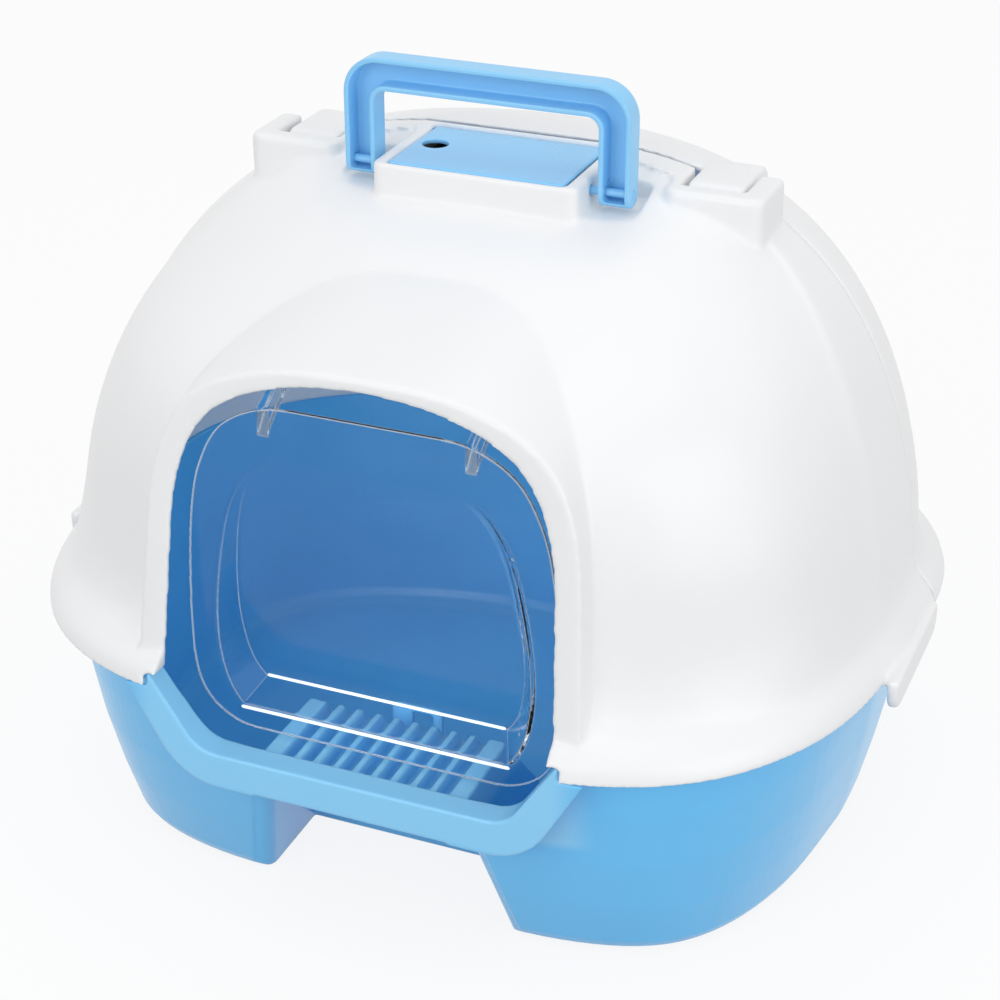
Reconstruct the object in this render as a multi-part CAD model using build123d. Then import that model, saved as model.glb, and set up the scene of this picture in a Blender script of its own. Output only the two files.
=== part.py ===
from build123d import *
from math import atan2, cos, degrees, hypot, pi, radians, sin, tan
import os

os.makedirs("parts", exist_ok=True)

# A covered litter box. Its front faces -Y, and the origin is the middle of its base on the floor.
# The tray stands on the floor, and two half hoods close over it. They meet at a seam plane
# across the box, where the front half is hinged to the rear half at the top.

# Overall sizes
rim_half_width = 225.0
rim_front = 194.5
rim_rear = 188.0
rim_bottom = 124.8
rim_squareness = (3.6, 2.6)
crown_height = 346.0
seam_y = 31.5
seam_gap = 0.6

# Walls
hood_wall = 3.0
tray_wall = 3.0
flap_wall = 2.0

# Dome of the hood: the arch at the seam, and how far the front and rear reach from the seam
dome_half_width = 212.0
dome_base = 125.0
arch_power_x = 3.0
arch_power_z = 2.12
dome_front = 204.0
dome_rear = 143.0
dome_squareness_base = 3.1
dome_squareness_top = 2.3
rear_squareness = 2.0
# Share of the height from the base of the dome to its crown, and share of the front reach there
front_profile = [
    (0.2036, 0.994), (0.362, 0.988), (0.4977, 0.970), (0.6018, 0.930), (0.6833, 0.850),
    (0.7466, 0.735), (0.8054, 0.605), (0.8597, 0.475), (0.9095, 0.330), (0.9502, 0.195),
    (0.9774, 0.105), (0.9932, 0.050),
]

# Rim of the hood, which laps over the tray
rim_top = 138.0
rim_inset_top = 6.5
ledge_height = 131.0

# Doorway and the raised frame round it
door_half_width = 100.0
door_top = 283.0
# Half width and height of the opening where its edge begins to curve, up to the top
door_arch = [(95.0, 205.0), (88.6, 240.0), (77.0, 260.0), (59.0, 272.2), (31.0, 280.4)]
frame_width = 13.0
frame_width_top = 6.0
frame_front_low = 179.5
frame_front_high = 159.0
visor_slope = 14.0
visor_end = 70.0

# Recess in the crown for the handle, and the filter box in it. Depths are below the crown.
recess_depth = 19.0
recess_half_width = 76.5
recess_rear = 6.0
box_half_width = 52.5
box_front = 34.5
box_top_depth = 2.9
lid_half_width = 44.8
lid_front = 31.2
lid_rear = 28.4
lid_gap = 0.4
lid_wall = 2.4
lid_knuckle_radius = 3.2
lid_pin_diameter = 2.4
finger_hole_diameter = 13.0
finger_hole_from_end = 10.5
filter_thickness = 8.0
vent_slots = 7
vent_width = 4.0

# Hinge between the two hoods. Its axis lies just under the seam arch over the tongues.
hinge_y = 15.0
hinge_depth = 2.43
knuckle_radius = 7.5
tongue_inner = 91.6
tongue_outer = 119.8
tongue_side_gap = 2.0
tongue_tail = 22.0
hinge_pin_diameter = 4.0
boss_inner = 84.0
boss_outer = 134.0
boss_front = 6.0
boss_rise = 8.2
boss_root = 6.0
swing_clearance = 1.3

# Carry handle
handle_half_width = 73.1
handle_bar = 15.9
handle_depth = 13.0
handle_web = 2.6
handle_front = 19.3
handle_rise = 42.8
handle_foot_depth = 16.5
handle_corner = 18.0
handle_pin_diameter = 4.0

# Door flap
flap_y = 157.0
# Right-hand outlines (x, z) from the bottom up: the whole flap, and the front and rear of its dish
flap_outline = [
    (64, 93.5), (77, 97), (89, 108), (94.3, 127), (94.8, 150), (93.5, 180), (90.5, 210),
    (87, 227), (82, 240), (75.5, 251), (65, 260), (38, 267.5),
]
dish_front = [
    (70.5, 103.5), (76, 111), (81.5, 127), (83.5, 150), (80.8, 182), (77.6, 202), (73.5, 219),
    (68.5, 231), (61.5, 241), (52, 248), (36, 252),
]
dish_rear = [
    (63.6, 114.4), (68.5, 121), (73, 136), (74.5, 155), (72.5, 184), (69.5, 202), (65.5, 217),
    (60.5, 228), (53.5, 237), (44.5, 243), (30, 246.5),
]
dish_depth_low = 16.0
dish_depth_high = 1.4
flap_arm_foot = 266.0
flap_arm_x = 51.0
flap_arm_width = 5.0
flap_axis_y = 136.0
flap_axis_z = 272.0
flap_pin_diameter = 3.0
flap_lug_width = 4.0
flap_lug_half_depth = 5.0

# Running clearance on the radius of every pin
pin_clearance = 0.08
pin_seat = 0.02

# Tray
tray_foot_half_width = 190.5
tray_foot_front = 147.0
tray_foot_rear = 137.0
tray_bulge = 3.0
tray_top_half_width = 212.0
tray_top_front = 183.0
tray_top_rear = 172.0
tray_squareness_foot = (5.8, 2.0)
tray_squareness_top = (3.6, 2.6)
tray_floor = 4.0
tray_bottom_radius = 9.0
flange_inset = 5.5
flange_wall = 3.0
skirt_wall = 2.5
lip_level = 94.0
lip_half_width = 79.0
lip_end = 103.0
lip_corner = 18.0
lip_bottom = 75.0
lip_bottom_half_width = 88.0
lip_bottom_end = 120.0
lip_bottom_corner = 34.0
lip_front = 186.0
notch_half_width = 66.0
notch_top_half_width = 50.0
notch_rear = 95.0
notch_height = 76.0
notch_edge_radius = 8.0
step_height = 90.0
step_rear_top = 118.0
step_rear_break = 55.0
groove_count = 9
groove_pitch = 10.1
groove_width = 6.6
groove_front = 169.0
groove_depth = 9.0
catch_width = 27.0
catch_top = 91.5
catch_y = 107.0
catch_wall = 3.0
catch_window = 11.0


def arch_half_width(z, inset=0.0):
    """Half width of the dome at height z."""
    share = max(0.0, min(1.0, (z - dome_base) / (crown_height - dome_base)))
    return (dome_half_width - inset) * (1 - share**arch_power_z) ** (1 / arch_power_x)


def arch_height(x):
    """Height of the seam arch at distance x from the middle."""
    share = min(1.0, abs(x) / dome_half_width)
    rise = (1 - share**arch_power_x) ** (1 / arch_power_z)
    return dome_base + (crown_height - dome_base) * rise


def half_ring(half_width, reach, squareness, z, side, steps=14):
    """Spline round the rear (side 1) or front (side -1) of a plan outline, anticlockwise."""
    across, along = squareness if isinstance(squareness, tuple) else (squareness, squareness)
    points = []
    for i in range(steps + 1):
        turn = pi * i / steps
        c = cos(turn)
        x = side * half_width * abs(c) ** (2 / across) * (1 if c >= 0 else -1)
        y = seam_y + side * reach * abs(sin(turn)) ** (2 / along)
        points.append((x, y, z))
    return Spline(points, tangents=[(0, side, 0), (0, -side, 0)])


def ring_face(half_width, front, rear, z, square_front, square_rear):
    """Flat face with a rounded outline, widest at the seam plane."""
    front_edge = half_ring(half_width, front, square_front, z, -1)
    rear_edge = half_ring(half_width, rear, square_rear, z, 1)
    return Face(Wire([rear_edge, front_edge]))


def stack(rows, ruled=False):
    """Solid through a stack of rings, given as (z, half width, front, rear, squareness x2)."""
    faces = [ring_face(w, f, r, z, sf, sr) for z, w, f, r, sf, sr in rows]
    return loft(faces, ruled=ruled).solid()


def rear_share(z):
    """Share of the rear reach left at height z."""
    share = (z - dome_base) / (crown_height - dome_base)
    return (1 - share**3) ** 0.4545


def dome_rows(inset):
    """Rings of the dome above its rim, moved in by inset."""
    rows = []
    for rise, share in front_profile:
        z = dome_base + (crown_height - dome_base) * rise
        square = dome_squareness_base + (dome_squareness_top - dome_squareness_base) * rise
        width = arch_half_width(z) - inset
        front = dome_front * share - inset
        rear = dome_rear * rear_share(z) - inset
        rows.append((z - inset * rise**2, width, front, rear, square, rear_squareness))
    return [row for row in rows if min(row[1:4]) > 4.0]


def hood_outside():
    """Outer form of both hoods: the rim band, its S-shaped shoulder and the dome."""
    reach_front = rim_front + seam_y
    reach_rear = rim_rear - seam_y
    rows = [
        (rim_bottom, rim_half_width, reach_front, reach_rear, rim_squareness, 2.3),
        (rim_bottom + 6, rim_half_width - 1.6, reach_front - 2.0, reach_rear - 1.6,
         rim_squareness, 2.3),
        (rim_top, rim_half_width - rim_inset_top, reach_front - rim_inset_top - 2,
         reach_rear - rim_inset_top, (3.5, 2.7), 2.25),
        (rim_top + 6, dome_half_width + 1.8, dome_front + 4.0, dome_rear + 1.8,
         (3.35, 3.0), 2.15),
        (rim_top + 14, dome_half_width - 0.6, dome_front, dome_rear - 0.4, 3.15, 2.05),
    ]
    return stack(rows + dome_rows(0))


def hood_hollow(inset):
    """Inside form of both hoods above the ledge that rests on the tray."""
    low = (dome_half_width + 1.0 - inset, dome_front - inset, dome_rear - inset, 3.2, 2.1)
    return stack([(ledge_height - 6, *low), (ledge_height, *low)] + dome_rows(inset))


def rim_face(inset, z):
    """Outline of the rim, moved in by inset."""
    return ring_face(rim_half_width - inset, rim_front + seam_y - inset,
                     rim_rear - seam_y - inset, z, rim_squareness, 2.3)


def block(x0, x1, y0, y1, z0, z1):
    """Box from its two corners."""
    return Pos((x0 + x1) / 2, (y0 + y1) / 2, (z0 + z1) / 2) * Box(x1 - x0, y1 - y0, z1 - z0)


def rod_x(radius, x0, x1, y, z):
    """Cylinder along X."""
    return Pos((x0 + x1) / 2, y, z) * Rot(0, 90, 0) * Cylinder(radius, x1 - x0)


def arch_face(grow_side, grow_top, bottom):
    """Doorway outline as a face square to Y, grown by the given amounts."""
    def right(x, z):
        return (x + grow_side, 0, z + grow_top * (z - bottom) / (door_top - bottom))
    foot = right(door_half_width, bottom)
    curve = [right(x, z) for x, z in door_arch]
    mirrored = [(-x, y, z) for x, y, z in reversed(curve)]
    left_foot = (-foot[0], 0, foot[2])
    rise = (curve[0][0] - foot[0], 0, curve[0][2] - foot[2])
    over = Spline(curve + [(0, 0, door_top + grow_top)] + mirrored,
                  tangents=[rise, (rise[0], 0, -rise[2])])
    return Face(Wire([Line(foot, curve[0]), over, Line(mirrored[-1], left_foot),
                      Line(left_foot, foot)]))


def door_frame(inset, setback):
    """Raised frame round the doorway with its visor, which runs back into the dome."""
    rise = tan(radians(visor_slope))
    start = frame_front_low + 10
    face = Pos(0, -start, -start * rise + frame_front_high * rise) * arch_face(
        frame_width - inset, frame_width_top - inset, ledge_height)
    run = (0, cos(radians(visor_slope)), sin(radians(visor_slope)))
    body = extrude(face, (start - visor_end) / cos(radians(visor_slope)), dir=run)
    body &= block(-300, 300, -300, 0, ledge_height, 400)
    lean = degrees(atan2(frame_front_low - frame_front_high, door_top - dome_base))
    front = Pos(0, -frame_front_low + setback, dome_base) * Rot(-lean, 0, 0)
    return body - front * block(-400, 400, -400, 0, -400, 400)


def both_sides(shape):
    """The shape and its mirror image across the middle plane."""
    return [shape, mirror(shape, about=Plane.YZ)]


recess_floor = crown_height - recess_depth
box_top = crown_height - box_top_depth
handle_top = crown_height + handle_rise
handle_foot = crown_height - handle_foot_depth
hinge_z = arch_height((tongue_inner + tongue_outer) / 2) - hinge_depth
boss_top = hinge_z + boss_rise

outside = hood_outside()
hollow = hood_hollow(hood_wall)
right_front = block(0, 400, -400, seam_y - seam_gap / 2, -50, 500)
right_rear = block(0, 400, seam_y + seam_gap / 2, 400, -50, 500)


def doorway():
    """Everything cut away for the door, down through the rim."""
    opening = extrude(Pos(0, -130, 0) * arch_face(0, 0, rim_bottom - 20), 200, dir=(0, -1, 0))
    return opening + block(-104.6, 104.6, -300, -150, rim_bottom - 20, ledge_height)


def hinge_boss():
    """Block on the right shoulder that holds the hinge pin, without its pocket."""
    rear = seam_y - seam_gap / 2
    root = arch_height(boss_outer) - boss_root
    body = block(boss_inner, boss_outer, -boss_front, rear, root, boss_top)
    body = fillet(body.edges().filter_by(Axis.Z).sort_by(Axis.Y)[:2], 7)
    return fillet(body.edges().group_by(Axis.Z)[-1].sort_by(Axis.Y)[:-1], 3)


def hinge_pocket():
    """Open-topped pocket for the tongue of the rear hood."""
    inner = tongue_inner - tongue_side_gap
    outer = tongue_outer + tongue_side_gap
    front = hinge_y - knuckle_radius - 2.5
    low = hinge_z - knuckle_radius - 1.2
    return block(inner, outer, front, 60, low, boss_top + 20)


def side_grip():
    """Thumb grip that hangs below the rim beside the seam, on the right."""
    grip = block(rim_half_width - 3.8, rim_half_width + 2.2, -58, seam_y - seam_gap / 2 - 4,
                 rim_bottom - 12, rim_bottom + 5)
    grip = fillet(grip.edges().filter_by(Axis.X).group_by(Axis.Z)[0], 9)
    return fillet(grip.edges().filter_by(Axis.Z).sort_by(Axis.X)[-2:], 2.5)


def flap_lug():
    """Lug that carries the flap pin on the right, rooted in the wall of the visor or the dome."""
    inner = flap_arm_x + flap_arm_width / 2 + 0.8
    outer = inner + flap_lug_width
    depth = flap_lug_half_depth
    tall = block(inner, outer, -flap_axis_y - depth, -flap_axis_y + depth, flap_axis_z,
                 crown_height)
    middle = hood_wall / 2
    lug = (tall & door_frame(middle, middle)) + (tall & hood_hollow(middle))
    return lug + rod_x(depth, inner, outer, -flap_axis_y, flap_axis_z)


def filter_box():
    """White box standing in the recess, open at the top for the filter and its lid."""
    rear = seam_y - seam_gap / 2
    body = block(-box_half_width, box_half_width, -box_front, rear, recess_floor - 3.5, box_top)
    body = fillet(body.edges().filter_by(Axis.Z).sort_by(Axis.Y)[:2], 5)
    body = fillet(body.edges().group_by(Axis.Z)[-1], 1.2)
    return body


def box_cavity():
    """Space in the filter box for the filter and the lid."""
    return block(-lid_half_width - lid_gap, lid_half_width + lid_gap,
                 -lid_front - lid_gap, lid_rear + lid_gap, recess_floor, box_top + 20)


def vents():
    """Slots through the floor of the filter box."""
    slots = []
    for i in range(vent_slots):
        x = (i - (vent_slots - 1) / 2) * vent_width * 2.6
        slots.append(block(x - vent_width / 2, x + vent_width / 2, -lid_front + 6,
                           lid_rear - 6, recess_floor - 12, recess_floor + 1))
    return slots


def crown_block():
    """Material kept under the crown for the floor and walls of the recess."""
    return block(-recess_half_width - 3, recess_half_width + 3, -120, 100, recess_floor - 3.5, 400)


handle_axis_y = -handle_front + handle_depth / 2
handle_axis_z = handle_foot + handle_depth / 2
handle_pin_root = box_half_width - 5.5
lid_axis_y = lid_rear - lid_knuckle_radius
lid_axis_z = box_top - lid_knuckle_radius


def with_mirror(half):
    """Whole piece from its right half."""
    return half + mirror(half, about=Plane.YZ)


def hood_shell(space, void):
    """One quarter of the hood as an empty shell: the dome above the ledge and the rim below."""
    under = block(-400, 400, -400, 400, 0, ledge_height)
    dome = (outside & space) - under - void
    lap = extrude(rim_face(hood_wall, rim_bottom - 5), ledge_height - rim_bottom + 5)
    rim = (outside & under & space) - lap
    return dome + rim


def front_hood_half():
    """Right half of the front hood, before what differs from left to right."""
    frame = door_frame(0, 0) & right_front
    frame_inside = door_frame(hood_wall, hood_wall)
    void = hollow & right_front
    body = hood_shell(right_front, void - crown_block())
    body += frame - void - frame_inside
    body = body - frame_inside - doorway()
    body = body + hinge_boss() + (flap_lug() - flap_pin(pin_seat))
    body -= block(-recess_half_width, recess_half_width, -90, recess_rear, recess_floor, 400)
    body = body + (filter_box() & right_front) + side_grip()
    return body - hinge_pocket() - [hinge_pin(pin_seat), handle_pin(pin_seat)]


def front_hood():
    """Front half of the hood with the doorway, crown recess, filter box and hinge bosses."""
    return with_mirror(front_hood_half()) - [box_cavity(), lid_pin(pin_seat)] - vents()


def swing_sweep():
    """Space that the right seam edge of the front hood sweeps through about the hinge axis."""
    edge_y = seam_y - seam_gap / 2 - hinge_y
    stations = [(x, arch_height(x)) for x in (0, 20, 40, 60, 75)]
    stations += [(boss_inner - 2, boss_top), (boss_outer + 2, boss_top)]
    reach = [(x, hypot(edge_y, z - hinge_z) + swing_clearance) for x, z in stations]
    outline = [(-1, reach[0][1])] + reach[1:] + [(reach[-1][0], 0), (-1, 0)]
    face = Face(Polyline([(x, hinge_y + r, hinge_z) for x, r in outline], close=True))
    return revolve(face, Axis((0, hinge_y, hinge_z), (1, 0, 0)), 360)


def tongue():
    """Hinge tongue of the rear hood, on the right: a knuckle on a short bar that runs back."""
    low = hinge_z - knuckle_radius
    bar = block(tongue_inner, tongue_outer, hinge_y, seam_y + tongue_tail, low,
                hinge_z + knuckle_radius)
    bar = fillet(bar.edges().filter_by(Axis.X).group_by(Axis.Y)[-1].sort_by(Axis.Z)[-1], 9)
    return bar + rod_x(knuckle_radius, tongue_inner, tongue_outer, hinge_y, hinge_z)


def rear_hood():
    """Rear half of the hood with its two hinge tongues."""
    half = hood_shell(right_rear, hollow & right_rear) - swing_sweep() + tongue()
    pin_hole = hinge_pin_diameter / 2 + pin_clearance
    half -= rod_x(pin_hole, tongue_inner - 1, tongue_outer + 1, hinge_y, hinge_z)
    return with_mirror(half)


def hinge_pin(grow=0.0):
    """Pin of the hood hinge on the right."""
    return rod_x(hinge_pin_diameter / 2 + grow, boss_inner + 2, boss_outer - 2, hinge_y, hinge_z)


def handle_pin(grow=0.0):
    """Pin that carries the right leg of the handle, rooted in the side of the filter box."""
    return rod_x(handle_pin_diameter / 2 + grow, handle_pin_root, handle_half_width - 0.5,
                 handle_axis_y, handle_axis_z)


def flap_pin(grow=0.0):
    """Pin with a small head on which the right arm of the flap hangs."""
    inner = flap_arm_x - flap_arm_width / 2 - 0.6
    outer = flap_arm_x + flap_arm_width / 2 + 0.8 + flap_lug_width
    pin = rod_x(flap_pin_diameter / 2 + grow, inner - 1.2, outer, -flap_axis_y, flap_axis_z)
    if grow:
        return pin
    return pin + rod_x(flap_pin_diameter, inner - 1.2, inner, -flap_axis_y, flap_axis_z)


def lid_pin(grow=0.0):
    """Pin of the filter lid, along its rear edge."""
    half = box_half_width - 2.5
    return rod_x(lid_pin_diameter / 2 + grow, -half, half, lid_axis_y, lid_axis_z)


def filter_lid():
    """Lid of the filter box with a finger hole, hinged along its rear edge."""
    plate = block(-lid_half_width, lid_half_width, -lid_front, lid_axis_y, box_top - lid_wall,
                  box_top)
    plate = fillet(plate.edges().filter_by(Axis.Z).sort_by(Axis.Y)[:2], 1.5)
    plate = fillet(plate.edges().group_by(Axis.Z)[-1].sort_by(Axis.Y)[:-1], 0.8)
    hole = Pos(-lid_half_width + finger_hole_from_end, (lid_rear - lid_front) / 2 + 3, box_top)
    plate -= hole * Cylinder(finger_hole_diameter / 2, 20)
    plate += rod_x(lid_knuckle_radius, -lid_half_width, lid_half_width, lid_axis_y, lid_axis_z)
    return plate - rod_x(lid_pin_diameter / 2 + pin_clearance, -60, 60, lid_axis_y, lid_axis_z)


def carbon_filter():
    """Filter pad lying on the floor of the filter box."""
    pad = block(-lid_half_width + 1.5, lid_half_width - 1.5, -lid_front + 1.5, lid_rear - 1.5,
                recess_floor, recess_floor + filter_thickness)
    return fillet(pad.edges().filter_by(Axis.Z), 3)


def portal(half_width, top, radius):
    """Upright arch as a face in the XZ plane, open side down at the handle's foot."""
    low = handle_foot
    corner = [(-half_width, low), (-half_width, top), (half_width, top), (half_width, low)]
    face = Face(Polyline([(x, 0, z) for x, z in corner], close=True))
    vertices = face.vertices().sort_by(Axis.Z)[-2:]
    return face.fillet_2d(radius, vertices)


def carry_handle():
    """Handle of open channel section, with a bore through the foot of each leg."""
    inner_half = handle_half_width - handle_bar
    inner_top = handle_top - handle_bar
    inner_radius = 6.0
    web = handle_web
    outer = portal(handle_half_width, handle_top, handle_corner)
    opening = portal(inner_half, inner_top, inner_radius)
    groove_out = portal(handle_half_width - web, handle_top - web, handle_corner - web)
    groove_in = portal(inner_half + web, inner_top + web, inner_radius + web)
    back = -handle_front + handle_depth
    band = Pos(0, back, 0) * extrude(outer, handle_depth, dir=(0, -1, 0))
    band -= Pos(0, back + 1, 0) * extrude(opening, handle_depth + 2, dir=(0, -1, 0))
    groove = Pos(0, back - web, 0) * extrude(groove_out, handle_depth, dir=(0, -1, 0))
    groove -= Pos(0, back, 0) * extrude(groove_in, handle_depth * 2, dir=(0, -1, 0))
    groove &= block(-200, 200, -100, 100, handle_foot + web, 500)
    band -= groove
    bore = rod_x(handle_pin_diameter / 2 + pin_clearance, 50, 80, handle_axis_y, handle_axis_z)
    return band - both_sides(foot_rounding()) - both_sides(bore)


def foot_rounding():
    """What is cut from a square leg to round its foot about the pin, on the right."""
    radius = handle_depth / 2
    square = block(50, 80, handle_axis_y - radius - 1, handle_axis_y + radius + 1,
                   handle_foot - 1, handle_axis_z)
    return square - rod_x(radius, 49, 81, handle_axis_y, handle_axis_z)


def panel_face(outline, shrink=0.0):
    """Upright face in the XZ plane from a right-hand outline, optionally shrunk all round."""
    middle = (outline[0][1] + outline[-1][1]) / 2
    right = []
    for x, z in outline:
        away = hypot(x, z - middle)
        right.append((x - shrink * x / away, 0, z - shrink * (z - middle) / away))
    left = [(-x, y, z) for x, y, z in reversed(right)]
    return Face(Wire([Line(left[-1], right[0]), Spline(right), Line(right[-1], left[0]),
                      Spline(left)]))


def lean_back(face, foot):
    """The rear face of the dish, set back and leaning so that its top comes forward."""
    tilt = degrees(atan2(dish_depth_low - dish_depth_high, dish_rear[-1][1] - foot))
    return Pos(0, dish_depth_low, foot) * Rot(tilt, 0, 0) * Pos(0, 0, -foot) * face


def flap_dish(shrink, forward):
    """Dish of the flap, shrunk all round and moved forward."""
    rear = lean_back(panel_face(dish_rear, shrink), dish_rear[0][1])
    return Pos(0, -forward, 0) * loft([panel_face(dish_front, shrink), rear])


def door_flap():
    """Clear flap: a flat border, a dished middle with a ledge at its foot, and two arms."""
    border = extrude(panel_face(flap_outline), flap_wall, dir=(0, 1, 0))
    mouth = extrude(panel_face(dish_front, flap_wall), 2 * flap_wall, dir=(0, -1, 0))
    body = (border + flap_dish(0, 0)) - flap_dish(flap_wall, flap_wall)
    body = Pos(0, -flap_y, 0) * (body - mouth)
    bore = rod_x(flap_pin_diameter / 2 + pin_clearance, flap_arm_x - 5, flap_arm_x + 5,
                 -flap_axis_y, flap_axis_z)
    return body + both_sides(flap_arm()) - both_sides(bore)


def flap_arm():
    """Right arm of the flap, with its gusset and eye."""
    x0 = flap_arm_x - flap_arm_width / 2
    y = -flap_y + flap_wall / 2
    eye = -flap_axis_y
    points = [(y, flap_arm_foot - 14), (y, flap_arm_foot), (eye - 2.5, flap_axis_z + 3.4),
              (eye + 3.4, flap_axis_z - 2.5)]
    face = Face(Polyline([(x0, yy, z) for yy, z in points], close=True))
    arm = extrude(face, flap_arm_width, dir=(1, 0, 0))
    return arm + rod_x(4.2, x0, x0 + flap_arm_width, eye, flap_axis_z)


def tray_row(z, inset):
    """Ring of the tray form at height z, moved in by inset."""
    up = z / ledge_height
    out = tray_bulge * sin(pi * min(1.0, up)) - inset
    half = tray_foot_half_width + (tray_top_half_width - tray_foot_half_width) * up
    front = tray_foot_front + (tray_top_front - tray_foot_front) * up + seam_y
    rear = tray_foot_rear + (tray_top_rear - tray_foot_rear) * up - seam_y
    square = tuple(a + (b - a) * up for a, b in zip(tray_squareness_foot, tray_squareness_top))
    return (z, half + out, front + out, rear + out, square, 2.3)


def tray_body(inset, floor):
    """Tray form from floor up, moved in by inset, with a rounded bottom edge."""
    edge = tray_bottom_radius
    top = ledge_height + (2 if inset else 0)
    rows = [tray_row(floor, inset + edge), tray_row(floor + edge * 0.13, inset + edge * 0.5),
            tray_row(floor + edge * 0.5, inset + edge * 0.13)]
    rows += [tray_row(z, inset) for z in (floor + edge, 35, 65, 95)]
    return stack(rows + [tray_row(top, inset)], ruled=True)


def trapezoid(low_half, high_half, low, high, y0, y1):
    """Block whose sides lean in from the half width at low to the one at high."""
    points = [(-low_half, low), (low_half, low), (high_half, high), (-high_half, high)]
    face = Face(Polyline([(x, y0, z) for x, z in points], close=True))
    return extrude(face, y1 - y0, dir=(0, 1, 0))


def dip_face(half, end, level, radius):
    """Dish-shaped outline of the lip in the XZ plane, from its flat bottom up to the rim."""
    slope = (ledge_height - level) / (end - half)
    far = end + 40 / slope
    top = ledge_height + 40
    points = [(-far, top), (-half, level), (half, level), (far, top)]
    face = Face(Polyline([(x, 0, z) for x, z in points], close=True))
    lower = [v for v in face.vertices() if abs(v.Z - level) < 0.01]
    return face.fillet_2d(radius, lower)


def front_lip():
    """Lip round the dip in the front wall: a shelf with a band turned down at its edge."""
    low = dip_face(lip_bottom_half_width, lip_bottom_end, lip_bottom, lip_bottom_corner)
    under = dip_face(lip_half_width + 3, lip_end + 3, lip_level - flange_wall, lip_corner + 3)
    band = Pos(0, -lip_front, 0) * extrude(low, 24, dir=(0, 1, 0))
    band -= Pos(0, -lip_front + skirt_wall, 0) * (
        extrude(low, 60, dir=(0, 1, 0)) - extrude(under, 60, dir=(0, 1, 0)))
    band &= block(-400, 400, -400, 0, 0, ledge_height)
    band -= both_sides(block(104.2, 150, -300, -100, rim_bottom - 0.2, 200))
    half = groove_pitch * groove_count / 2 + 4
    return band + block(-half, half, -lip_front + 9, -lip_front + 22,
                        step_height - groove_depth - 3, lip_level)


def step_section(back, drop, height):
    """Side view of the step, as points (y, z), with its sloping rear."""
    return [(-300, -1), (back, -1), (back, step_rear_break - drop),
            (-step_rear_top, height), (-300, height)]


def prism(points, half):
    """Solid across the middle from a side view given as points (y, z)."""
    face = Face(Polyline([(-half, y, z) for y, z in points], close=True))
    return extrude(face, 2 * half, dir=(1, 0, 0))


def step():
    """Step behind the lip that stands over the notch."""
    sides = trapezoid(notch_half_width + 4, notch_top_half_width + 3, -1, step_height, -300, 0)
    return sides & prism(step_section(-notch_rear + tray_wall, 0, step_height), 200)


def notch():
    """Space under the step between the two front feet."""
    sides = trapezoid(notch_half_width, notch_top_half_width, -1, notch_height, -300, 0)
    return sides & prism(step_section(-notch_rear, tray_wall + 10, notch_height), 200)


def notch_edge():
    """What rounds the upright edge between the notch and the front wall, on the right."""
    radius = notch_edge_radius
    squares = []
    circles = []
    for z in (-1.0, lip_bottom - 1):
        lean = (notch_half_width - notch_top_half_width) * (z + 1) / (notch_height + 1)
        x = notch_half_width - lean
        y = seam_y - tray_row(z, 0)[2]
        corner = [(x - 6, y - 12, z), (x + radius, y - 12, z), (x + radius, y + radius, z),
                  (x - 6, y + radius, z)]
        squares.append(Face(Polyline(corner, close=True)))
        circles.append(Pos(x + radius, y + radius, z) * Face(Wire(Circle(radius).edges())))
    return loft(squares, ruled=True) - loft(circles, ruled=True)


def grooves():
    """Round-ended grooves across the step, open at the rear."""
    cuts = []
    floor = step_height - groove_depth
    for i in range(groove_count):
        x = (i - (groove_count - 1) / 2) * groove_pitch
        half = groove_width / 2
        cut = block(x - half, x + half, -groove_front + half, -catch_y - 1, floor, lip_level + 5)
        cuts.append(cut + Pos(x, -groove_front + half, floor + 10) * Cylinder(half, 20))
    return cuts


def catch():
    """Small upright tab with a window, behind the grooves."""
    half = catch_width / 2
    tab = block(-half, half, -catch_y, -catch_y + catch_wall, step_rear_break + 11, catch_top)
    tab = fillet(tab.edges().filter_by(Axis.Y).group_by(Axis.Z)[-1], 4)
    side = catch_window / 2
    window = block(3 - side, 3 + side, -catch_y - 5, -catch_y + 9, catch_top - 15,
                   catch_top - 15 + catch_window)
    return tab - window


def tray():
    """Litter tray with its flange, dipped front lip, step, notch and two front feet."""
    right = block(0, 400, -400, 400, -50, 500)
    flange = extrude(rim_face(flange_inset, rim_bottom + 0.2), ledge_height - rim_bottom - 0.2)
    flange -= extrude(rim_face(flange_inset + skirt_wall, rim_bottom - 5),
                      ledge_height - flange_wall - rim_bottom + 5)
    dip = extrude(dip_face(lip_half_width, lip_end, lip_level, lip_corner), 160, dir=(0, 1, 0))
    half = (tray_body(0, 0) & right) + (flange & right)
    half = half + (front_lip() & right) - Pos(0, -260, 0) * dip
    void = (tray_body(tray_wall, tray_floor) & right) - step()
    half = half - void - notch() - notch_edge()
    return with_mirror(half) - grooves() + catch()


def save(name, shape):
    """Write one piece and say how large it is."""
    export_step(shape, f"parts/{name}.step")
    size = shape.bounding_box().size
    print(name, len(shape.solids()), round(shape.volume), [round(v, 1) for v in size])


def save_pair(name, shape):
    """Write a right-hand piece and its mirror image."""
    save(f"{name}_right", shape)
    save(f"{name}_left", mirror(shape, about=Plane.YZ))


save("tray", tray())
save("carry_handle", carry_handle())
save("door_flap", door_flap())
save("filter_lid", filter_lid())
save("carbon_filter", carbon_filter())
save("filter_lid_pin", lid_pin())
save_pair("hinge_pin", hinge_pin())
save_pair("handle_pin", handle_pin())
save_pair("flap_pin", flap_pin())
save("rear_hood", rear_hood())
save("front_hood", front_hood())
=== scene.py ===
from math import radians

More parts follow.
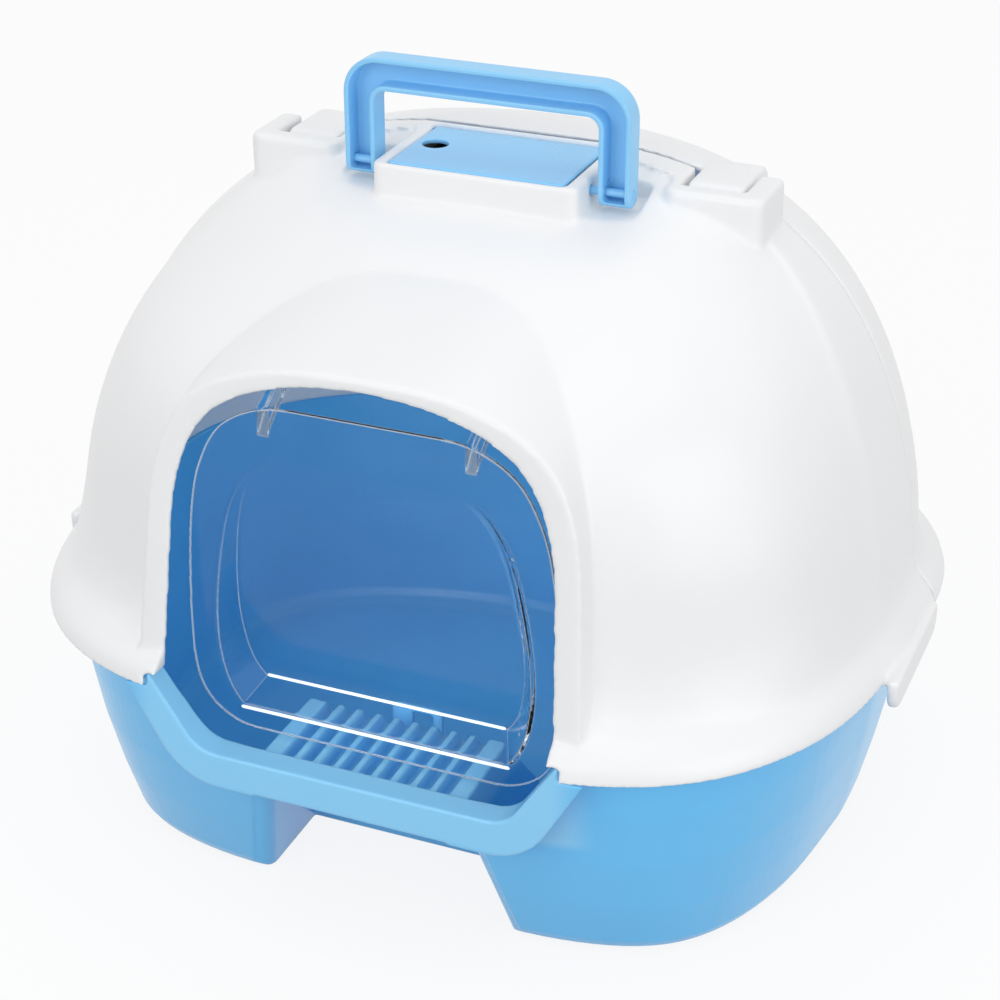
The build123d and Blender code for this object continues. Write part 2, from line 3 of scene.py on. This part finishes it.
import bpy
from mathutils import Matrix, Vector


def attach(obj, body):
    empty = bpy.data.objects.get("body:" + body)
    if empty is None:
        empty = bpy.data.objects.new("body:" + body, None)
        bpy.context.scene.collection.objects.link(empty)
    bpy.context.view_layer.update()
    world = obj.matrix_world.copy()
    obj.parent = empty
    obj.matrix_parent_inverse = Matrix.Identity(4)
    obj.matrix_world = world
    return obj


# Covered litter box. Metres, front towards -Y, origin in the middle of its base on the floor.

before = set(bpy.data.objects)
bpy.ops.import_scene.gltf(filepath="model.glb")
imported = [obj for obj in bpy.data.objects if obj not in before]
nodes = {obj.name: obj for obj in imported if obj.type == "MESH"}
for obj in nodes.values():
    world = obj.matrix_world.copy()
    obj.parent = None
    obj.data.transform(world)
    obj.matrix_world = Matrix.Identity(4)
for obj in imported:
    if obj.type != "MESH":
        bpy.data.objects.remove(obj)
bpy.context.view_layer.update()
scene = bpy.context.scene

# Camera at the photograph's viewing angle, with angles in degrees and lens and sensor in mm
CAMERA_PLACE = (0.39090, -0.94618, 0.68969)
CAMERA_AZIMUTH = 22.431
CAMERA_ELEVATION = 27.585
CAMERA_LENS = 79.92
CAMERA_SENSOR = 36.0
CAMERA_NEAREST = 0.01
CAMERA_FARTHEST = 30.0

# Soft square lights: name, place, point they face, side, power in watts
LIGHTS = (
    ("Key", (-0.5, -2.2, 1.2), (0.0, 0.0, 0.15), 1.6, 15.0),
    ("Fill", (2.2, -1.0, 0.9), (0.0, 0.0, 0.2), 1.8, 17.0),
    ("Top", (-0.2, 0.2, 2.6), (0.0, 0.0, 0.2), 2.0, 12.0),
)

# Strength of the white surroundings as light on the object, and as they are seen
WORLD_LIGHT = 0.62
WORLD_SEEN = 1.0

# Floor: half its side, its colour, the share of it that shows as plain white, and the share of
# light that it gives back to the object
FLOOR_HALF_SIDE = 9.0
FLOOR_COLOR = (0.93, 0.93, 0.935)
FLOOR_GLOW = 0.87
FLOOR_BOUNCE = 0.5

# Colours of the plastics and the pad
WHITE = (0.88, 0.885, 0.895)
BLUE = (0.14, 0.56, 0.97)
# The lip's lighter blue is painted light, standing for the top light that falls on the tray's lip
# and step
PAINTED_LIGHT_LIP_BLUE = (0.27, 0.66, 0.99)
LIGHT_BLUE = (0.26, 0.62, 0.95)
PIN_GREY = (0.80, 0.81, 0.83)
PAD_BLACK = (0.03, 0.03, 0.033)
CLEAR = (0.93, 0.97, 1.0)
# The beads' white is a painted highlight on the edges of the flap's ledge
PAINTED_HIGHLIGHT_WHITE = (0.90, 0.95, 0.99)

# Coloured plastic: index of refraction, scale of its mottling, the part of the noise that the
# mottling uses, how far its roughness strays either way, and the depth of its grain
PLASTIC_IOR = 1.49
MOTTLING_SCALE = 14.0
MOTTLING_RANGE = (0.3, 0.7)
ROUGHNESS_STRAY = 0.04
GRAIN_DEPTH = 0.0006

# Share of the lamps' light that passes the thin white and blue walls, and the tint it takes
WHITE_SHARE = 0.7
WHITE_TINT = (1.0, 1.0, 1.0)
BLUE_SHARE = 0.35
BLUE_TINT = (0.04, 0.40, 0.95)

# Where the tray turns to the painted light of its lip and step, a lighter blue for the top light
# falling on them: where the change starts, and where it is full
PAINTED_LIP_LIGHT_HALF_WIDTH = (0.118, 0.100)
PAINTED_LIP_LIGHT_Y = (-0.100, -0.112)
PAINTED_LIP_LIGHT_Z = (0.072, 0.079)

# Clear plastic: index of refraction, how bright its reflections are, scale of the waves in its
# surface and their largest roughness, and the tint of the light that passes
CLEAR_IOR = 1.40
CLEAR_REFLECTION = (0.22, 0.24, 0.26)
CLEAR_WAVE_SCALE = 60.0
CLEAR_ROUGHNESS = 0.03
CLEAR_PASSING = (0.88, 0.94, 0.98)

# Painted highlights on the edges of clear plastic: the bends of the mesh between which the edges
# turn white, and how white
EDGE_HIGHLIGHT_BEND = (0.508, 0.535)
EDGE_HIGHLIGHT_WHITE = 0.75

# Painted highlight lines on the edges of the flap's ledge, drawn as thin white glowing beads:
# name, half their length, and their place in Y and Z.
# The end share is the radius of their tips as a share of their own.
LEDGE_HIGHLIGHTS = (
    ("flap_ledge_front_highlight", 0.0700, -0.1570, 0.1045),
    ("flap_ledge_rear_highlight", 0.0625, -0.1430, 0.1160),
)
BEAD_RADIUS = 0.00085
BEAD_END_SHARE = 0.3
# The beads glow as painted highlights
PAINTED_HIGHLIGHT_COLOR = (0.85, 0.94, 1.0)
PAINTED_HIGHLIGHT_GLOW = 0.55

# Rounding of the moulded pieces: voxel size, and how often the surface is smoothed
HOOD_ROUNDING = (0.0011, 14)
TRAY_ROUNDING = (0.0009, 4)
SMALL_ROUNDING = (0.0005, 8)
FLAP_ROUNDING = (0.0005, 3)


def make_camera():
    data = bpy.data.cameras.new("Camera")
    data.lens = CAMERA_LENS
    data.sensor_width = CAMERA_SENSOR
    data.clip_start = CAMERA_NEAREST
    data.clip_end = CAMERA_FARTHEST
    cam = bpy.data.objects.new("Camera", data)
    cam.location = CAMERA_PLACE
    cam.rotation_euler = (radians(90 - CAMERA_ELEVATION), 0, radians(CAMERA_AZIMUTH))
    scene.collection.objects.link(cam)
    scene.camera = cam


def area_light(name, place, target, size, power):
    data = bpy.data.lights.new(name, "AREA")
    data.size = size
    data.energy = power
    light = bpy.data.objects.new(name, data)
    light.location = place
    scene.collection.objects.link(light)
    direction = Vector(target) - Vector(place)
    light.rotation_euler = direction.to_track_quat("-Z", "Y").to_euler()


def new_material(name):
    """A new material, its node tree and its Principled BSDF."""
    material = bpy.data.materials.new(name)
    material.use_nodes = True
    return material, material.node_tree, material.node_tree.nodes["Principled BSDF"]


def add(tree, kind, **values):
    """A new node with some inputs set, whose names have _ for a space."""
    node = tree.nodes.new("ShaderNode" + kind)
    for name, value in values.items():
        node.inputs[name.replace("_", " ")].default_value = value
    return node


def calculate(tree, operation, first, second=None):
    """The result of an operation on one or two sockets."""
    node = add(tree, "Math")
    node.operation = operation
    tree.links.new(first, node.inputs[0])
    if second is not None:
        tree.links.new(second, node.inputs[1])
    return node.outputs[0]


def mix_shaders(tree, first, second, share=None):
    """Mix of two shader sockets; share is the socket that says how much of the second."""
    node = add(tree, "MixShader")
    if share is not None:
        tree.links.new(share, node.inputs["Fac"])
    tree.links.new(first, node.inputs[1])
    tree.links.new(second, node.inputs[2])
    return node


def seen_rays(tree):
    """A socket that is 1 for camera, glossy and transmission rays."""
    rays = add(tree, "LightPath").outputs
    direct = calculate(tree, "MAXIMUM", rays["Is Camera Ray"], rays["Is Glossy Ray"])
    return calculate(tree, "MAXIMUM", direct, rays["Is Transmission Ray"])


def noise(tree, scale, detail=2.0):
    """Factor of a noise that is fixed to the piece."""
    place = add(tree, "TexCoord")
    node = add(tree, "TexNoise", Scale=scale, Detail=detail)
    tree.links.new(place.outputs["Object"], node.inputs["Vector"])
    return node.outputs["Fac"]


def make_world():
    world = bpy.data.worlds.new("Studio")
    scene.world = world
    world.use_nodes = True
    tree = world.node_tree
    background = tree.nodes["Background"]
    background.inputs["Color"].default_value = (1.0, 1.0, 1.0, 1.0)
    strength = add(tree, "MapRange", To_Min=WORLD_LIGHT, To_Max=WORLD_SEEN)
    tree.links.new(seen_rays(tree), strength.inputs["Value"])
    tree.links.new(strength.outputs[0], background.inputs["Strength"])


def make_floor():
    """Pale floor that looks white to the camera and gives back less light than it shows."""
    mesh = bpy.data.meshes.new("Floor")
    h = FLOOR_HALF_SIDE
    mesh.from_pydata([(-h, -h, 0), (h, -h, 0), (h, h, 0), (-h, h, 0)], [], [(0, 1, 2, 3)])
    floor = bpy.data.objects.new("Floor", mesh)
    scene.collection.objects.link(floor)
    material, tree, _ = new_material("Floor")
    tree.nodes.clear()
    out = add(tree, "OutputMaterial")
    diffuse = add(tree, "BsdfDiffuse", Color=(*FLOOR_COLOR, 1.0))
    glow = add(tree, "Emission", Color=(1.0, 1.0, 1.0, 1.0))
    seen = mix_shaders(tree, diffuse.outputs[0], glow.outputs[0])
    seen.inputs["Fac"].default_value = FLOOR_GLOW
    bounce = add(tree, "BsdfDiffuse", Color=(FLOOR_BOUNCE, FLOOR_BOUNCE, FLOOR_BOUNCE, 1.0))
    mix = mix_shaders(tree, bounce.outputs[0], seen.outputs[0], seen_rays(tree))
    tree.links.new(mix.outputs[0], out.inputs["Surface"])
    mesh.materials.append(material)


def moulded_plastic(name, color, roughness, spread=0.03, bump=0.02, grain=900.0):
    """Moulded plastic: slight mottling of colour and roughness, and a fine grain."""
    material, tree, shader = new_material(name)
    shader.inputs["IOR"].default_value = PLASTIC_IOR
    mottling = noise(tree, MOTTLING_SCALE, detail=3.0)
    ramp = add(tree, "ValToRGB")
    dark, light = ramp.color_ramp.elements
    dark.position, light.position = MOTTLING_RANGE
    dark.color = (*[c * (1 - spread) for c in color], 1)
    light.color = (*[min(1.0, c * (1 + spread)) for c in color], 1)
    tree.links.new(mottling, ramp.inputs["Fac"])
    tree.links.new(ramp.outputs["Color"], shader.inputs["Base Color"])
    rough = add(tree, "MapRange", To_Min=roughness - ROUGHNESS_STRAY,
                To_Max=roughness + ROUGHNESS_STRAY)
    tree.links.new(mottling, rough.inputs["Value"])
    tree.links.new(rough.outputs[0], shader.inputs["Roughness"])
    relief = add(tree, "Bump", Strength=bump, Distance=GRAIN_DEPTH)
    tree.links.new(noise(tree, grain), relief.inputs["Height"])
    tree.links.new(relief.outputs["Normal"], shader.inputs["Normal"])
    return material


def paint_light_on_lip(material):
    """Painted light: the tray's lip and step, which face the top light, are painted a lighter
    blue than its walls.
    """
    tree = material.node_tree
    place = add(tree, "TexCoord")
    axes = add(tree, "SeparateXYZ")
    tree.links.new(place.outputs["Object"], axes.inputs[0])
    side = calculate(tree, "ABSOLUTE", axes.outputs["X"])
    steps = []
    for source, (start, full) in ((side, PAINTED_LIP_LIGHT_HALF_WIDTH), (axes.outputs["Y"], PAINTED_LIP_LIGHT_Y),
                                  (axes.outputs["Z"], PAINTED_LIP_LIGHT_Z)):
        step = add(tree, "MapRange", From_Min=start, From_Max=full)
        step.interpolation_type = "SMOOTHSTEP"
        tree.links.new(source, step.inputs["Value"])
        steps.append(step.outputs[0])
    across = calculate(tree, "MULTIPLY", steps[0], steps[1])
    share = calculate(tree, "MULTIPLY", across, steps[2])
    base = tree.nodes["Principled BSDF"].inputs["Base Color"]
    mix = add(tree, "Mix")
    mix.data_type = "RGBA"
    tree.links.new(share, mix.inputs["Factor"])
    # A Mix node's colours A and B are its sockets 6 and 7, and its mixed colour is output 2
    tree.links.new(base.links[0].from_socket, mix.inputs[6])
    # The lighter blue is painted light on the lip and step
    mix.inputs[7].default_value = (*PAINTED_LIGHT_LIP_BLUE, 1.0)
    tree.links.new(mix.outputs[2], base)


def let_light_through(material, share, tint):
    """Thin coloured plastic lets a share of the lamps' light through to the inside."""
    tree = material.node_tree
    part = add(tree, "Math")
    part.operation = "MULTIPLY"
    part.inputs[1].default_value = share
    tree.links.new(add(tree, "LightPath").outputs["Is Shadow Ray"], part.inputs[0])
    clear = add(tree, "BsdfTransparent", Color=(*tint, 1.0))
    plastic = tree.nodes["Principled BSDF"].outputs[0]
    mix = mix_shaders(tree, plastic, clear.outputs[0], part.outputs[0])
    tree.links.new(mix.outputs[0], tree.nodes["Material Output"].inputs["Surface"])


def clear_plastic(name):
    """Clear moulded plastic whose sharp edges are painted white as highlights, and which lets
    light through to the inside.
    """
    material, tree, shader = new_material(name)
    shader.inputs["Base Color"].default_value = (*CLEAR, 1.0)
    shader.inputs["Transmission Weight"].default_value = 1.0
    shader.inputs["IOR"].default_value = CLEAR_IOR
    shader.inputs["Specular Tint"].default_value = (*CLEAR_REFLECTION, 1.0)
    rough = add(tree, "MapRange", To_Min=0.0, To_Max=CLEAR_ROUGHNESS)
    tree.links.new(noise(tree, CLEAR_WAVE_SCALE), rough.inputs["Value"])
    tree.links.new(rough.outputs[0], shader.inputs["Roughness"])
    # Painted highlight: where the mesh bends sharply, the clear plastic turns a diffuse and
    # translucent white
    bend = add(tree, "NewGeometry").outputs["Pointiness"]
    low, high = EDGE_HIGHLIGHT_BEND
    edge = add(tree, "MapRange", From_Min=low, From_Max=high, To_Max=EDGE_HIGHLIGHT_WHITE)
    tree.links.new(bend, edge.inputs["Value"])
    behind = add(tree, "BsdfTranslucent", Color=(*CLEAR, 1.0))
    before = add(tree, "BsdfDiffuse", Color=(*CLEAR, 1.0))
    painted_edge_highlight = mix_shaders(tree, behind.outputs[0], before.outputs[0])
    highlighted = mix_shaders(tree, shader.outputs[0], painted_edge_highlight.outputs[0], edge.outputs[0])
    passing = add(tree, "BsdfTransparent", Color=(*CLEAR_PASSING, 1.0))
    shadow = add(tree, "LightPath").outputs["Is Shadow Ray"]
    mix = mix_shaders(tree, highlighted.outputs[0], passing.outputs[0], shadow)
    tree.links.new(mix.outputs[0], tree.nodes["Material Output"].inputs["Surface"])
    return material


def painted_highlight_material(name):
    """Painted highlight: a white, glowing material for the beads along the flap's ledge, standing
    for its edges catching the light.
    """
    material = moulded_plastic(name, PAINTED_HIGHLIGHT_WHITE, roughness=0.12, spread=0.02, bump=0.0)
    shader = material.node_tree.nodes["Principled BSDF"]
    shader.inputs["Emission Color"].default_value = (*PAINTED_HIGHLIGHT_COLOR, 1.0)
    shader.inputs["Emission Strength"].default_value = PAINTED_HIGHLIGHT_GLOW
    return material


def bead(name, start, end, material, body):
    """Straight rounded bead from start to end, which moves with a body."""
    curve = bpy.data.curves.new(name, "CURVE")
    curve.dimensions = "3D"
    curve.bevel_depth = BEAD_RADIUS
    curve.bevel_resolution = 4
    curve.use_fill_caps = True
    start, end = Vector(start), Vector(end)
    tip = (end - start).normalized() * BEAD_RADIUS
    stops = ((start, BEAD_END_SHARE), (start + tip, 1.0), (end - tip, 1.0), (end, BEAD_END_SHARE))
    line = curve.splines.new("POLY")
    line.points.add(len(stops) - 1)
    for point, (place, size) in zip(line.points, stops):
        point.co = (*place, 1.0)
        point.radius = size
    obj = bpy.data.objects.new(name, curve)
    scene.collection.objects.link(obj)
    curve.materials.append(material)
    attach(obj, body)


def paint(name, material):
    node = nodes[name]
    node.data.materials.clear()
    node.data.materials.append(material)


def smooth_shell(name, rounding):
    """Rounds the edges of a moulded piece, as its draft and radii do."""
    node = nodes[name]
    remesh = node.modifiers.new("Voxels", "REMESH")
    remesh.mode = "VOXEL"
    remesh.use_smooth_shade = True
    soften = node.modifiers.new("Soften", "SMOOTH")
    soften.factor = 0.5
    remesh.voxel_size, soften.iterations = rounding


make_camera()
for light in LIGHTS:
    area_light(*light)
make_world()
make_floor()

white = moulded_plastic("WhitePlastic", WHITE, roughness=0.34, spread=0.008)
let_light_through(white, WHITE_SHARE, WHITE_TINT)
blue = moulded_plastic("BluePlastic", BLUE, roughness=0.24)
# Painted light: the tray's lip and step are painted a lighter blue
paint_light_on_lip(blue)
let_light_through(blue, BLUE_SHARE, BLUE_TINT)
light_blue = moulded_plastic("LightBluePlastic", LIGHT_BLUE, roughness=0.28)
pins = moulded_plastic("PinPlastic", PIN_GREY, roughness=0.4)
pad = moulded_plastic("CarbonPad", PAD_BLACK, roughness=0.9, spread=0.4, bump=0.6, grain=1500.0)

for name in ("front_hood", "rear_hood"):
    paint(name, white)
    smooth_shell(name, HOOD_ROUNDING)
paint("tray", blue)
smooth_shell("tray", TRAY_ROUNDING)
for name in ("carry_handle", "filter_lid"):
    paint(name, light_blue)
    smooth_shell(name, SMALL_ROUNDING)
paint("door_flap", clear_plastic("ClearPlastic"))
smooth_shell("door_flap", FLAP_ROUNDING)
# Painted highlight lines: glowing white beads along the front and rear edges of the flap's ledge
painted_highlight = painted_highlight_material("PaintedHighlightBead")
for name, half, y, z in LEDGE_HIGHLIGHTS:
    bead(name, (-half, y, z), (half, y, z), painted_highlight, "flap_body")
paint("carbon_filter", pad)
for name in nodes:
    if name.startswith("handle_pin") or name == "filter_lid_pin":
        paint(name, light_blue)
    elif "_pin" in name:
        paint(name, pins)

scene.view_settings.view_transform = "Standard"
